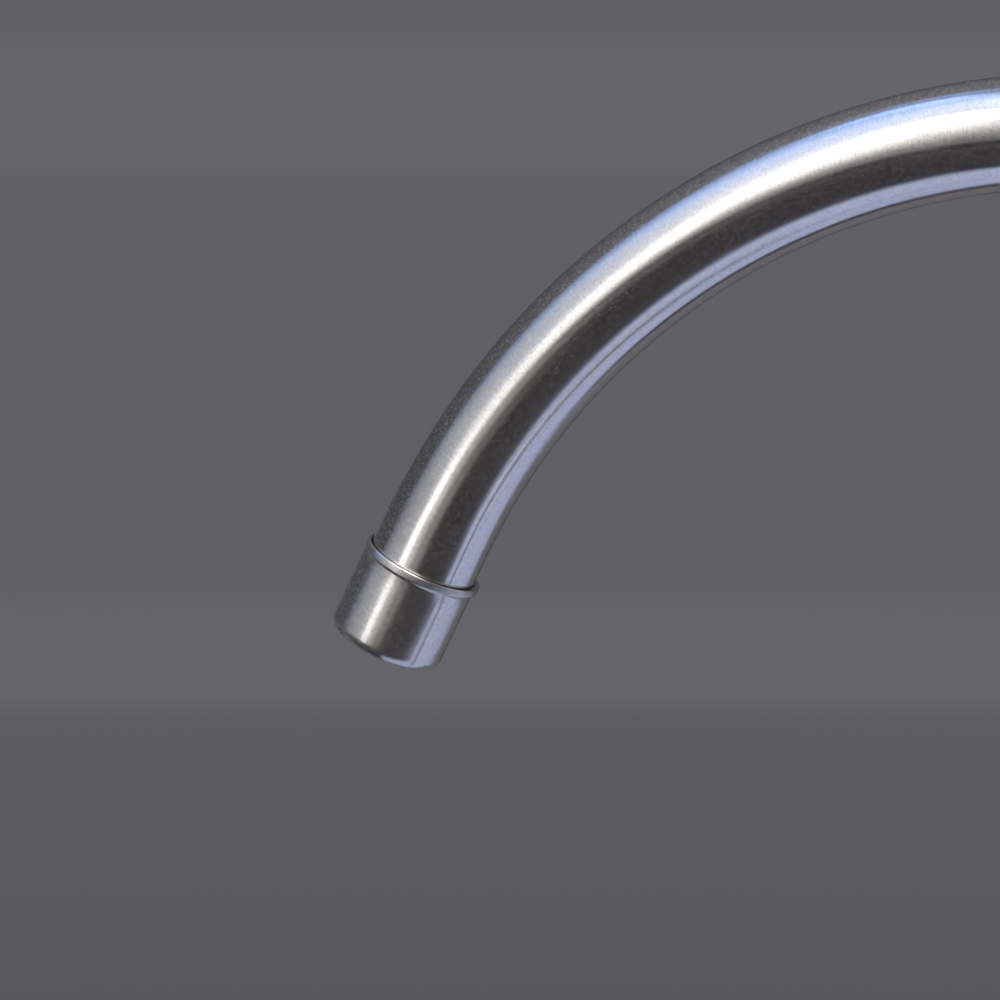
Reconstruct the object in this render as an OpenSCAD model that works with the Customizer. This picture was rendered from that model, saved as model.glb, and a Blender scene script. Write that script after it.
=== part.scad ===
// Drinking water tap for an under-sink filter: a swivel gooseneck spout with a drawn tip cap,
// a turned body with a quarter-turn ceramic valve and a side lever, a threaded shank that is
// clamped through the counter, and a push-fit inlet for the filter's tube.
// The counter's top is z = 0 and the spout turns about the Z axis. At rest the spout points
// to the front, which is -Y, and the lever is on the right, which is +X.

/* [Spout] */
// Outside diameter of the spout tube
tube_od = 10; // [9.6:0.1:10.4]
// Wall of the spout tube
tube_wall = 0.8; // [0.6:0.05:1]
// Radius of the arch, to the middle of the tube
bend_r = 67.5; // [55:0.5:80]
// How far the bend runs on past the top of the arch, in degrees
bend_past_top = 63.4; // [50:0.1:75]
// Top of the arch above the counter
arch_top = 260; // [230:1:300]
// Straight part of the tube from the end of the bend to the lip of the cap
lip_after_bend = 2.4; // [1:0.1:8]

/* [Tip cap] */
// Sheet that the cap is drawn from
cap_sheet = 0.32; // [0.25:0.01:0.45]
// Gap between the cap and the tube
cap_fit = 0.055; // [0.03:0.005:0.1]
// Length of the cap from its lip to the outlet
cap_len = 8.84; // [8:0.02:12]
// Rounding of the lower edge of the cap
cap_round = 0.85; // [0.6:0.05:1.1]
// How far the lip flares out past the side of the cap
lip_reach = 0.225; // [0.15:0.005:0.4]
// Height of the flared part
lip_height = 0.7; // [0.5:0.05:1]
// Outlet opening in the end of the cap
outlet_d = 7.8; // [7:0.1:8]
// Length of the flow straightener inside the tube
straightener_len = 5; // [3:0.5:8]
// Thickness of the flange on the flow straightener
straightener_flange = 0.8; // [0.6:0.1:1.2]
// Bore of one channel in the flow straightener
channel_d = 1.1; // [0.9:0.05:1.3]
// Web between two channels
channel_web = 0.45; // [0.35:0.05:0.6]
// Thickness of the washer that the tube's end presses on
tip_washer_t = 0.6; // [0.4:0.1:1]

/* [Spout swivel] */
// Diameter of the stem that turns in the body
stem_d = 14; // [13.6:0.1:14.6]
// Depth of the stem below the top of the body
stem_depth = 19.5; // [18:0.5:20]
// Diameter of the flange that holds the stem down
stem_flange_d = 19; // [18:0.1:19.6]
// Thickness of that flange
stem_flange_t = 2.5; // [2:0.1:3]
// How deep the tube is brazed into the stem
tube_seat = 9.3; // [7:0.1:10]
// Cord diameter of the two sealing rings on the stem
stem_ring_cord = 1.8; // [1.5:0.1:2]
// Thickness of the glide ring under the flange
glide_t = 0.8; // [0.6:0.1:1.2]
// Height of the collar's straight side
collar_side = 9; // [8:0.5:11]
// Height of the collar's shoulder above its straight side
collar_shoulder = 8; // [6:0.5:10]
// Gap round the tube where it leaves the collar
collar_gap = 0.3; // [0.2:0.05:0.5]

/* [Body] */
// Diameter of the body
body_d = 26; // [25:0.5:28]
// Top of the body above the counter
body_top = 62; // [62:1:70]
// Diameter of the threaded neck under the collar
neck_d = 22; // [21.6:0.1:22.6]
// Height of the threaded neck
neck_h = 6; // [5:0.5:7]
// Diameter of the side boss
boss_d = 22; // [21.5:0.1:23]
// End of the side boss from the middle of the body
boss_end = 22; // [21:0.5:24]
// Height of the valve's axis above the counter
valve_z = 30; // [30:0.5:31]
// Bore of the water passages
passage_d = 4; // [3.5:0.1:4.4]
// Rounding of the outer edges of turned parts
edge_r = 0.8; // [0.4:0.1:1.2]

/* [Base] */
// Diameter of the base flange
flange_d = 50; // [46:1:56]
// Height of the base flange
flange_h = 6; // [5:0.5:8]
// Height of the flange's upright rim
flange_rim = 2.2; // [1.5:0.1:3]
// Thickness of the gasket under the flange
gasket_t = 1.5; // [1:0.1:2]
// Width of the flange's edge outside the gasket
gasket_inset = 2.5; // [2:0.5:4]
// Diameter of the foot of the body
foot_d = 29; // [28:0.5:32]
// Height of the foot
foot_h = 2.5; // [2:0.5:4]

/* [Valve] */
// Diameter of the ceramic discs
disc_d = 12; // [11.8:0.1:12.2]
// Thickness of each ceramic disc
disc_t = 3; // [2.8:0.1:3.1]
// Thickness of the seal under the fixed disc
seat_seal_t = 1.5; // [1.2:0.1:1.6]
// Angle of one port in the ceramic discs
port_angle = 72; // [60:1:80]
// Wall of the housing round the discs
housing_wall = 0.8; // [0.7:0.05:0.9]
// How far the housing's sealing land stands out past its nose
housing_land_step = 0.5; // [0.4:0.05:0.7]
// How far the housing's thread stands out past the sealing land
housing_thread_step = 0.4; // [0.3:0.05:0.7]
// Size of the housing's hexagon across its flats
housing_hex = 16.5; // [16:0.1:17]
// Thickness of that hexagon
housing_hex_t = 4; // [3.5:0.1:4.2]
// Diameter of the housing's outer end
spigot_d = 11; // [10.5:0.1:11.5]
// Length of the housing's outer end past its hexagon
spigot_out = 3.5; // [3:0.1:4.5]
// Diameter of the spindle
spindle_d = 7; // [6.8:0.1:7.4]
// Cord diameter of the spindle's sealing rings
spindle_ring_cord = 1.2; // [1:0.1:1.3]
// Angle that the spindle turns from closed to open
quarter_turn = 90; // [80:1:100]
// Angle of the stop lug on the spindle
lug_angle = 60; // [45:1:70]

/* [Lever] */
// Diameter of the handle's hub
hub_d = 20; // [19:0.5:22]
// Length of the hub
hub_len = 17; // [15:0.5:20]
// Rounding of the hub's outer end
hub_round = 2.2; // [1:0.1:3]
// Thickness of the hub's closed end past the spindle
hub_end_t = 5; // [4:0.5:6]
// Gap between the hub and the valve cover
hub_gap = 0.4; // [0.3:0.05:0.8]
// Reach of the lever from the valve's axis to its tip
lever_reach = 52; // [40:1:65]
// Thickness of the lever at the hub
lever_d = 6.5; // [6:0.1:7]
// Thickness of the lever at its tip
lever_tip_d = 5.4; // [4.5:0.1:6.5]
// Diameter of the lever's threaded stud
stud_d = 5; // [4.5:0.1:5.5]
// Diameter of the grub screw
grub_d = 4; // [3.5:0.1:4.5]

/* [Under the counter] */
// Diameter of the threaded shank
shank_d = 11.11; // [11:0.01:11.3]
// Length of the shank below the counter
shank_below = 58; // [56:0.5:70]
// How far the shank screws into the body
shank_in_body = 10; // [8:0.5:11]
// Bore of the shank
shank_bore = 6.5; // [6:0.1:7]
// Counter thickness that the nut is drawn tightened on
counter_t = 18; // [15:0.5:19]
// Diameter of the rubber washer
rubber_d = 32; // [28:1:36]
// Thickness of the rubber washer
rubber_t = 3; // [2:0.5:4]
// Thickness of the plastic spacer
spacer_t = 4; // [3:0.5:5]
// Thickness of the toothed lock washer
star_t = 1; // [0.8:0.1:1.2]
// Teeth on the lock washer
star_teeth = 12; // [8:1:16]
// Size of the lock nut across its flats
nut_hex = 19; // [17:0.5:22]
// Thickness of the lock nut
nut_t = 7; // [6:0.5:8]

/* [Inlet] */
// Outside diameter of the water tube that pushes in
water_tube_d = 6.35; // [6.2:0.01:6.5]
// Outside diameter of the inlet adapter
adapter_d = 17; // [16.5:0.5:19]
// Length of the inlet adapter
adapter_len = 30; // [29:0.5:34]
// How deep the shank screws into the adapter
adapter_thread = 8; // [7:0.5:9]
// Length of the fluted grip round the adapter
grip_h = 13.5; // [10:0.5:16]
// Length of the smooth socket that the water tube's end sits in
socket_len = 6; // [5:0.5:7]
// Diameter of the collet's flange
collet_flange_d = 13; // [12.5:0.5:14]
// Thickness of the cone washer on the end of the shank
cone_t = 2; // [1.5:0.1:2.5]
// Cord diameter of the sealing ring on the water tube
adapter_ring_cord = 2; // [1.8:0.1:2.2]
// Flutes round the adapter
flutes = 12; // [8:1:16]
// Travel of the collet when it is pressed to free the tube
collet_travel = 1.2; // [0.8:0.1:1.5]

/* [Clearances] */
// Gap between a thread and its hole
thread_gap = 0.08; // [0.05:0.01:0.12]
// Gap round a turning shaft
shaft_gap = 0.1; // [0.06:0.01:0.14]
// Gap between a sealing ring and the wall it runs on
ring_gap = 0.06; // [0.04:0.01:0.1]
// Gap round pieces that sit loosely in a bore
loose_gap = 0.3; // [0.2:0.05:0.4]

/* [Hidden] */
$fn = 96;

cut = 1; // how far a cutter reaches past the face that it opens
arc_steps = 8; // straight steps in a drawn quarter of a rounding
dome_steps = 12; // straight steps in a drawn dome or shoulder
chamfer = 0.3; // small bevel on a turned edge
thread_chamfer = 0.6; // bevel at the start of a thread

steel = "#b9babd";
brass = "#c9a550";
rubber = "#26262a";
ceramic = "#f0efe9";
plastic_dark = "#2e2f33";
plastic_pale = "#d9dadc";

// Spout and tip
tube_r = tube_od / 2;
tube_bore_r = tube_r - tube_wall;
arch_z = arch_top - tube_r - bend_r;
cap_inner_r = tube_r + cap_fit;
cap_outer_r = cap_inner_r + cap_sheet;
insert_depth = cap_sheet + straightener_flange + tip_washer_t;
cap_round_in = cap_round - cap_sheet;
flange_round = min(cap_round_in, straightener_flange - 0.15);
tip_straight = lip_after_bend + cap_len - insert_depth;
straightener_r = tube_bore_r - cap_fit;
channel_pitch = channel_d + channel_web;
tip_sizing = 0.03; // how much the tip's wall is sized down on each side
tip_sizing_in = 0.5; // length of the sized part that runs up into the bend

// Swivel
stem_r = stem_d / 2;
stem_bottom = body_top - stem_depth;
stem_flange_z = body_top + glide_t;
stem_top = stem_flange_z + stem_flange_t;
tube_bottom = stem_top - tube_seat;
stem_bore_r = stem_r + shaft_gap;
stem_end_gap = 0.5;
stem_bore_floor = stem_bottom - stem_end_gap;
ring_groove_r = stem_r + shaft_gap - ring_gap - stem_ring_cord;
ring_groove_h = stem_ring_cord + 0.4;
ring_land = 2.1; // wall between the two ring grooves
stem_land = 1.2; // wall between the lower groove and the stem's end
ring_pitch = ring_groove_h + ring_land;
first_ring_z = stem_bottom + stem_land + ring_groove_h / 2;

// Collar
collar_bottom = body_top - neck_h;
collar_side_top = collar_bottom + collar_side;
collar_top = collar_side_top + collar_shoulder;
collar_roof = stem_top + collar_gap;
collar_hole_r = tube_r + collar_gap;
collar_lip = 1.6; // flat ring round the hole in the collar's top
collar_rim_h = 0.8; // upright part between the shoulder and that ring
neck_r = neck_d / 2;
neck_hole_r = neck_r + thread_gap;

// Body and base
body_r = body_d / 2;
body_bottom = gasket_t + flange_h;
shank_r = shank_d / 2;
shank_top = body_bottom + shank_in_body;
shank_hole_r = shank_r + thread_gap;
shank_end_gap = 1;
inlet_x = -3; // middle of the passage from the shank to the valve
outlet_x = 4.8; // middle of the passage from the valve to the stem

// Valve, along X
seat_x = 2; // seat of the valve in the body
fixed_disc_x = seat_x + seat_seal_t;
moving_disc_x = fixed_disc_x + disc_t;
driver_x = moving_disc_x + disc_t;
driver_t = 3.2;
port_rim = 1.2;
port_r = disc_d / 2 - port_rim;
port_core_r = 1.4;
tongue_h = 1.2;
tongue_w = 2.4;
housing_bore_r = disc_d / 2 + loose_gap;
housing_nose_r = housing_bore_r + housing_wall;
housing_floor = driver_x + driver_t + loose_gap;
lug_t = 1.8;
lug_rim = 1;
lug_r = disc_d / 2 - lug_rim;
lug_end = housing_floor + lug_t + loose_gap;
nose_past_discs = 1;
land_start = driver_x + nose_past_discs;
land_r = housing_nose_r + housing_land_step;
housing_thread_r = land_r + housing_thread_step;
housing_ring_cord = 1.3;
housing_ring_h = housing_ring_cord + 0.2;
land_web = 0.8;
housing_ring_x = housing_floor + land_web + housing_ring_h / 2;
land_end = housing_ring_x + housing_ring_h / 2 + land_web;
chamber_r = land_r + shaft_gap;
hex_end = boss_end + housing_hex_t;
spigot_end = hex_end + spigot_out;
cover_side = 1;
cover_face = 3;
cover_past_spigot = 0.5;
cover_end = spigot_end + cover_past_spigot;
spindle_r = spindle_d / 2;
clip_t = 0.7;
clip_opening = 60; // angle of the gap in the open ring
clip_x = spigot_end + shaft_gap;
clip_rim = 0.6;
spindle_step = 0.5; // depth of the clip groove and of the step to the outer end
clip_groove_r = spindle_r - spindle_step;
spindle_shoulder = 0.4;
spindle_neck = clip_x + clip_t + spindle_shoulder;
spindle_end_r = spindle_r - spindle_step;
flat_depth = 0.7;
flat_at = spindle_end_r - flat_depth;
flat_start = spindle_neck + 0.5;
spindle_ring_h = spindle_ring_cord + 0.2;
spindle_ring_r = spindle_r + shaft_gap - ring_gap - spindle_ring_cord;
spindle_land = 1.2;
spindle_ring_pitch = 4;
first_spindle_ring = lug_end + spindle_land + spindle_ring_h / 2;
spindle_ring_x = [first_spindle_ring, first_spindle_ring + spindle_ring_pitch];

// Handle, along X
hub_start = cover_end + hub_gap;
hub_end = hub_start + hub_len;
lever_x = (hub_start + hub_end) / 2;
hub_r = hub_d / 2;
spindle_end = hub_end - hub_end_t;
lever_sink = 0.6; // depth of the recess that the lever stands in
lever_seat = hub_r - lever_sink;
stud_len = 4.2;
stud_end_gap = 0.4;
grub_len = 5;
snug_gap = 0.05; // gap of pieces that a screw draws together

// Under the counter
rubber_top = -counter_t;
spacer_top = rubber_top - rubber_t;
star_top = spacer_top - spacer_t;
nut_top = star_top - star_t;
shank_bottom = -shank_below;
adapter_top = shank_bottom + adapter_thread;
adapter_bottom = adapter_top - adapter_len;
cone_bottom = shank_bottom - cone_t;
tube_shoulder = 1; // ledge all round that stops the water tube
tube_shoulder_t = 2;
tube_stop = cone_bottom - tube_shoulder_t;
socket_r = water_tube_d / 2 + 0.025;
ring_seat_top = tube_stop - socket_len;
ring_seat_h = adapter_ring_cord + 0.2;
ring_seat_bottom = ring_seat_top - ring_seat_h;
chamber_bore_r = socket_r + adapter_ring_cord + ring_gap;
collet_wall = 0.95;
collet_bore_r = socket_r + shaft_gap;
collet_sleeve_r = collet_bore_r + collet_wall;
retainer_bore_r = collet_sleeve_r + shaft_gap;
retainer_r = chamber_bore_r - snug_gap;
collet_flange_t = 1.5;
collet_flange_top = adapter_bottom - collet_travel - loose_gap;
grab_t = 0.5;
collet_top = ring_seat_bottom - grab_t - collet_travel - loose_gap;
collet_head_h = 1.6;
retainer_h = collet_top - collet_head_h - loose_gap - adapter_bottom;
flute_r = 1.1;
flute_depth = 0.6;

// Points of an arc about [cx, cy], from angle a0 to a1
function arc(cx, cy, r, a0, a1, steps = arc_steps) =
    [for (i = [0:steps]) let (a = a0 + (a1 - a0) * i / steps) [cx + r * cos(a), cy + r * sin(a)]];

// A ring with a plain square section
module ring(r_in, r_out, h) {
    rotate_extrude() translate([r_in, 0]) square([r_out - r_in, h]);
}

// A turned disc or column with rounded top and bottom edges
module turned(r, h, top = edge_r, bottom = edge_r) {
    rotate_extrude() polygon(concat(
        [[0, 0]],
        arc(r - bottom, bottom, bottom, -90, 0),
        arc(r - top, h - top, top, 0, 90),
        [[0, h]]
    ));
}

// A sealing ring of round cord whose inner edge is r_in
module o_ring(r_in, cord) {
    rotate_extrude() translate([r_in + cord / 2, 0]) circle(d = cord, $fn = 32);
}

// A piece of a ring, from angle a0 to a1
module sector(r_in, r_out, a0, a1, h) {
    rotate([0, 0, a0])
        rotate_extrude(angle = a1 - a0) translate([r_in, 0]) square([r_out - r_in, h]);
}

// Puts a shape drawn along Z on the valve's axis, starting at x
module on_valve(x) {
    translate([x, 0, valve_z]) rotate([0, 90, 0]) children();
}

// Puts a shape drawn along Z at the tip of the spout: z = 0 is the outlet and +Z runs back
// up the tube
module at_tip() {
    translate([0, -bend_r, arch_z])
        rotate([bend_past_top - 90, 0, 0])
            translate([0, -bend_r, -(lip_after_bend + cap_len)])
                children();
}

// Tube in three runs: the riser, the arch and the straight tip, which is sized a little
// smaller than the rest so that the cap slides on
module spout_tube() {
    color(steel) union() {
        translate([0, 0, tube_bottom]) ring(tube_bore_r, tube_r, arch_z - tube_bottom);
        translate([0, -bend_r, arch_z])
            rotate([0, 90, 0])
                rotate([0, 0, 90])
                    rotate_extrude(angle = 90 + bend_past_top)
                        translate([bend_r, 0])
                            difference() {
                                circle(r = tube_r);
                                circle(r = tube_bore_r);
                            }
        at_tip() translate([0, 0, insert_depth])
            ring(tube_bore_r + tip_sizing, tube_r - tip_sizing, tip_straight + tip_sizing_in);
    }
}

// Drawn cup with a rolled lower edge and a flared lip
module tip_cap() {
    flare_r = (lip_height * lip_height + lip_reach * lip_reach) / (2 * lip_reach);
    flare_a = asin(lip_height / flare_r);
    flare_z = cap_len - lip_height;
    color(steel) at_tip() rotate_extrude() polygon(concat(
        [[outlet_d / 2, 0]],
        arc(cap_outer_r - cap_round, cap_round, cap_round, -90, 0),
        arc(cap_outer_r + flare_r, flare_z, flare_r, 180, 180 - flare_a),
        arc(cap_outer_r + flare_r, flare_z, flare_r + cap_sheet, 180 - flare_a, 180),
        arc(cap_outer_r - cap_round, cap_round, cap_round_in, 0, -90),
        [[outlet_d / 2, cap_sheet]]
    ));
}

// Plug of parallel channels that calms the flow
module flow_straightener() {
    rows = floor(outlet_d / 2 / channel_pitch);
    reach = outlet_d / 2 - channel_d / 2;
    plug_h = insert_depth - cap_sheet + straightener_len;
    color(plastic_pale) at_tip() translate([0, 0, cap_sheet]) difference() {
        union() {
            turned(tube_r - cap_fit, straightener_flange, 0.1, flange_round);
            cylinder(r = straightener_r, h = plug_h);
        }
        for (i = [-rows:rows])
            for (j = [-rows:rows])
                let (x = (i + j / 2) * channel_pitch, y = j * channel_pitch * sin(60))
                    if (norm([x, y]) <= reach)
                        translate([x, y, -cut])
                            cylinder(d = channel_d, h = plug_h + 2 * cut, $fn = 24);
    }
}

module tip_washer() {
    color(rubber) at_tip() translate([0, 0, cap_sheet + straightener_flange])
        ring(tube_bore_r, tube_r - cap_fit, tip_washer_t);
}

// Stem brazed to the foot of the tube, with two ring grooves and a flange
module spout_stem() {
    color(steel) difference() {
        union() {
            translate([0, 0, stem_bottom])
                turned(stem_r, stem_top - stem_bottom, chamfer, edge_r);
            translate([0, 0, stem_flange_z])
                turned(stem_flange_d / 2, stem_flange_t, chamfer, chamfer);
        }
        translate([0, 0, stem_bottom - cut])
            cylinder(r = tube_bore_r, h = tube_bottom - stem_bottom + 2 * cut);
        translate([0, 0, tube_bottom]) cylinder(r = tube_r, h = tube_seat + cut);
        for (i = [0:1])
            translate([0, 0, first_ring_z + i * ring_pitch - ring_groove_h / 2])
                ring(ring_groove_r, stem_r + cut, ring_groove_h);
    }
}

module stem_o_rings() {
    color(rubber) for (i = [0:1])
        translate([0, 0, first_ring_z + i * ring_pitch]) o_ring(ring_groove_r, stem_ring_cord);
}

module glide_ring() {
    color(plastic_pale) translate([0, 0, body_top])
        ring(stem_bore_r + loose_gap, stem_flange_d / 2, glide_t);
}

// Dome nut that screws on the neck and keeps the stem down
module spout_collar() {
    lip_r = collar_hole_r + collar_lip;
    color(steel) rotate_extrude() polygon(concat(
        [[neck_hole_r, collar_bottom]],
        [[body_r - chamfer, collar_bottom], [body_r, collar_bottom + chamfer]],
        [for (i = [0:dome_steps]) let (t = i / dome_steps)
            [body_r - (body_r - lip_r) * (1 - cos(180 * t)) / 2,
             collar_side_top + (collar_shoulder - collar_rim_h) * t]],
        [[lip_r, collar_top - chamfer], [lip_r - chamfer, collar_top]],
        [[collar_hole_r + chamfer, collar_top], [collar_hole_r, collar_top - chamfer]],
        [[collar_hole_r, collar_roof], [neck_hole_r, collar_roof]]
    ));
}

// Turned column with a side boss, bored for the shank, the valve and the stem
module tap_body() {
    foot_r = foot_d / 2;
    foot_top = body_bottom + foot_h;
    passage_in = inlet_x - passage_d / 2;
    passage_out_z = valve_z + chamber_r - cut;
    column = concat(
        [[0, body_bottom], [foot_r - chamfer, body_bottom], [foot_r, body_bottom + chamfer]],
        arc(foot_r - edge_r, foot_top - edge_r, edge_r, 0, 90),
        [[body_r, foot_top], [body_r, collar_bottom - chamfer]],
        [[body_r - chamfer, collar_bottom], [neck_r, collar_bottom]],
        [[neck_r, body_top - thread_chamfer], [neck_r - thread_chamfer, body_top]],
        [[0, body_top]]
    );
    color(steel) difference() {
        union() {
            rotate_extrude() polygon(column);
            on_valve(0) turned(boss_d / 2, boss_end, edge_r / 2, edge_r / 2);
        }
        translate([0, 0, body_bottom - cut])
            cylinder(r = shank_hole_r, h = shank_in_body + shank_end_gap + cut);
        translate([inlet_x, 0, shank_top]) cylinder(d = passage_d, h = valve_z - shank_top);
        on_valve(passage_in) cylinder(d = passage_d, h = seat_x - passage_in + cut);
        on_valve(seat_x) cylinder(r = chamber_r, h = boss_end - seat_x + cut);
        on_valve(land_end)
            cylinder(r = housing_thread_r + thread_gap, h = boss_end - land_end + cut);
        translate([outlet_x, 0, passage_out_z])
            cylinder(d = passage_d, h = stem_bore_floor - passage_out_z + cut);
        translate([0, 0, stem_bore_floor])
            cylinder(r = stem_bore_r, h = body_top - stem_bore_floor + cut);
    }
}

// Domed base plate with a recess for the gasket
module base_flange() {
    rim_r = flange_d / 2;
    rim_top = gasket_t + flange_rim;
    dome_r = rim_r - edge_r;
    dome_top_r = foot_d / 2 + 1;
    rise = flange_h - flange_rim;
    counter_gap = 0.5;
    color(steel) rotate_extrude() polygon(concat(
        [[shank_hole_r + loose_gap, gasket_t], [rim_r - gasket_inset, gasket_t]],
        [[rim_r - gasket_inset, counter_gap]],
        [[rim_r - chamfer, counter_gap], [rim_r, counter_gap + chamfer]],
        arc(rim_r - edge_r / 2, rim_top - edge_r / 2, edge_r / 2, 0, 90),
        [for (i = [0:dome_steps]) let (t = i / dome_steps)
            [dome_r - (dome_r - dome_top_r) * t, rim_top + rise * sin(90 * t)]],
        [[shank_hole_r + loose_gap, gasket_t + flange_h]]
    ));
}

module base_gasket() {
    color(rubber) ring(shank_hole_r + loose_gap, flange_d / 2 - gasket_inset - 0.2, gasket_t);
}

module threaded_shank() {
    color(steel) translate([0, 0, shank_bottom]) difference() {
        turned(shank_r, shank_top - shank_bottom, thread_chamfer, thread_chamfer);
        translate([0, 0, -cut]) cylinder(d = shank_bore, h = shank_top - shank_bottom + 2 * cut);
    }
}

// Brass housing of the ceramic valve: an open nose round the discs with two side windows and
// two notches for the fixed disc, a sealing land, the thread, a hexagon and the outer end
module cartridge_housing() {
    window_w = 7;
    window_edge = 0.3;
    stop_slack = 1; // angle left free at each end of the turn
    lug_from = 180 - lug_angle / 2 - stop_slack;
    lug_to = 180 + lug_angle / 2 + quarter_turn + stop_slack;
    hex_r = housing_hex / 2 / cos(30);
    nose_cut_r = housing_nose_r + cut;
    color(brass) difference() {
        union() {
            on_valve(fixed_disc_x) cylinder(r = housing_nose_r, h = land_start - fixed_disc_x);
            on_valve(land_start) cylinder(r = land_r, h = land_end - land_start);
            on_valve(land_end) cylinder(r = housing_thread_r, h = boss_end - land_end);
            on_valve(boss_end) rotate([0, 0, 30]) cylinder(r = hex_r, h = housing_hex_t, $fn = 6);
            on_valve(boss_end) turned(spigot_d / 2, spigot_end - boss_end, chamfer, chamfer);
        }
        on_valve(fixed_disc_x - cut)
            cylinder(r = housing_bore_r, h = housing_floor - fixed_disc_x + cut);
        on_valve(housing_floor - cut)
            cylinder(r = spindle_r + shaft_gap, h = spigot_end - housing_floor + 2 * cut);
        on_valve(housing_floor - cut)
            sector(0, lug_r + loose_gap, lug_from, lug_to, lug_end - housing_floor + cut);
        on_valve(housing_ring_x - housing_ring_h / 2)
            ring(chamber_r - ring_gap - housing_ring_cord, land_r + cut, housing_ring_h);
        translate([moving_disc_x + window_edge, -window_w / 2, valve_z - nose_cut_r])
            cube([disc_t - 2 * window_edge, window_w, 2 * nose_cut_r]);
        translate([fixed_disc_x - cut, -nose_cut_r, valve_z - tongue_w / 2])
            cube([disc_t / 2 + cut + shaft_gap, 2 * nose_cut_r, tongue_w]);
    }
}

module housing_o_ring() {
    color(rubber) on_valve(housing_ring_x)
        o_ring(chamber_r - ring_gap - housing_ring_cord, housing_ring_cord);
}

module seat_seal() {
    color(rubber) on_valve(seat_x) ring(port_r + 0.1, housing_nose_r, seat_seal_t);
}

// Two opposite ports in a disc, as seen from the spindle
module ports(turn, h) {
    for (a = [turn, turn + 180])
        sector(port_core_r, port_r, a - port_angle / 2, a + port_angle / 2, h);
}

// Ceramic disc that stays still, with two lugs in the notches of the housing
module fixed_disc() {
    lug_w = tongue_w - 2 * shaft_gap;
    lug_reach = housing_nose_r - 0.2;
    color(ceramic) difference() {
        union() {
            on_valve(fixed_disc_x) cylinder(d = disc_d, h = disc_t);
            translate([fixed_disc_x, -lug_reach, valve_z - lug_w / 2])
                cube([disc_t / 2, 2 * lug_reach, lug_w]);
        }
        on_valve(fixed_disc_x - cut) ports(0, disc_t + 2 * cut);
    }
}

// Ceramic disc that turns with the spindle: its ports lie across those of the fixed disc
// while the tap is closed
module moving_disc() {
    color(ceramic) difference() {
        on_valve(moving_disc_x) cylinder(d = disc_d, h = disc_t);
        on_valve(moving_disc_x - cut) ports(90, disc_t + 2 * cut);
        translate([driver_x - tongue_h, -disc_d / 2 - cut, valve_z - tongue_w / 2])
            cube([tongue_h + cut, disc_d + 2 * cut, tongue_w]);
    }
}

// Spindle: a driver with a tongue for the moving disc, a stop lug, two ring grooves, the
// clip groove and an end with a flat for the grub screw
module spindle() {
    driver_r = disc_d / 2 - 0.4;
    driver_end = driver_x + driver_t;
    sink = 0.1; // how far each part of the spindle runs into the one before it
    tongue_reach = driver_r - 0.2;
    tongue_t = tongue_w - 2 * snug_gap;
    color(brass) difference() {
        union() {
            on_valve(driver_x) turned(driver_r, driver_t, chamfer, chamfer);
            on_valve(driver_end - sink)
                cylinder(r = spindle_r, h = spindle_neck - driver_end + sink);
            on_valve(spindle_neck - sink)
                cylinder(r = spindle_end_r, h = spindle_end - spindle_neck + sink);
            on_valve(driver_end - sink)
                sector(0, lug_r, 180 - lug_angle / 2, 180 + lug_angle / 2,
                    lug_end - driver_end - loose_gap + sink);
            translate([driver_x - tongue_h + snug_gap, -tongue_reach, valve_z - tongue_t / 2])
                cube([tongue_h + chamfer + sink, 2 * tongue_reach, tongue_t]);
        }
        for (x = spindle_ring_x)
            on_valve(x - spindle_ring_h / 2) ring(spindle_ring_r, spindle_r + cut, spindle_ring_h);
        on_valve(clip_x) ring(clip_groove_r, spindle_r + cut, clip_t + snug_gap);
        translate([flat_start, -spindle_r, valve_z - spindle_r - flat_at])
            cube([spindle_end, spindle_d, spindle_r]);
    }
}

module spindle_o_rings() {
    color(rubber) for (x = spindle_ring_x) on_valve(x) o_ring(spindle_ring_r, spindle_ring_cord);
}

// Open ring snapped in the groove at the outer end of the housing
module spindle_clip() {
    color(steel) on_valve(clip_x)
        sector(clip_groove_r + 0.02, spigot_d / 2 - clip_rim,
            clip_opening / 2, 360 - clip_opening / 2, clip_t);
}

// Cup that hides the hexagon and seats on the boss
module cartridge_cover() {
    cover_len = cover_end - boss_end;
    color(steel) on_valve(boss_end) difference() {
        turned(boss_d / 2, cover_len, edge_r, edge_r / 2);
        translate([0, 0, -cut])
            cylinder(r = boss_d / 2 - cover_side, h = cover_len - cover_face + cut);
        translate([0, 0, -cut])
            cylinder(r = spigot_d / 2 + thread_gap, h = cover_len + 2 * cut);
    }
}

// Hub of the lever, bored for the spindle, the lever's stud and the grub screw
module handle_hub() {
    color(steel) difference() {
        on_valve(hub_start) turned(hub_r, hub_len, hub_round, edge_r);
        on_valve(hub_start - cut)
            cylinder(r = spigot_d / 2, h = spindle_neck - hub_start + loose_gap + cut);
        difference() {
            on_valve(hub_start)
                cylinder(r = spindle_end_r + snug_gap, h = spindle_end - hub_start + loose_gap);
            translate([flat_start, -spindle_r, valve_z - spindle_r - flat_at - snug_gap])
                cube([spindle_end, spindle_d, spindle_r]);
        }
        translate([lever_x, 0, valve_z + lever_seat])
            cylinder(d = lever_d + loose_gap, h = hub_r);
        translate([lever_x, 0, valve_z + lever_seat - stud_len - stud_end_gap])
            cylinder(d = stud_d + 2 * thread_gap, h = hub_r);
        translate([lever_x, 0, valve_z - hub_r - cut])
            cylinder(d = grub_d + 2 * thread_gap, h = hub_r + cut);
    }
}

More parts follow.
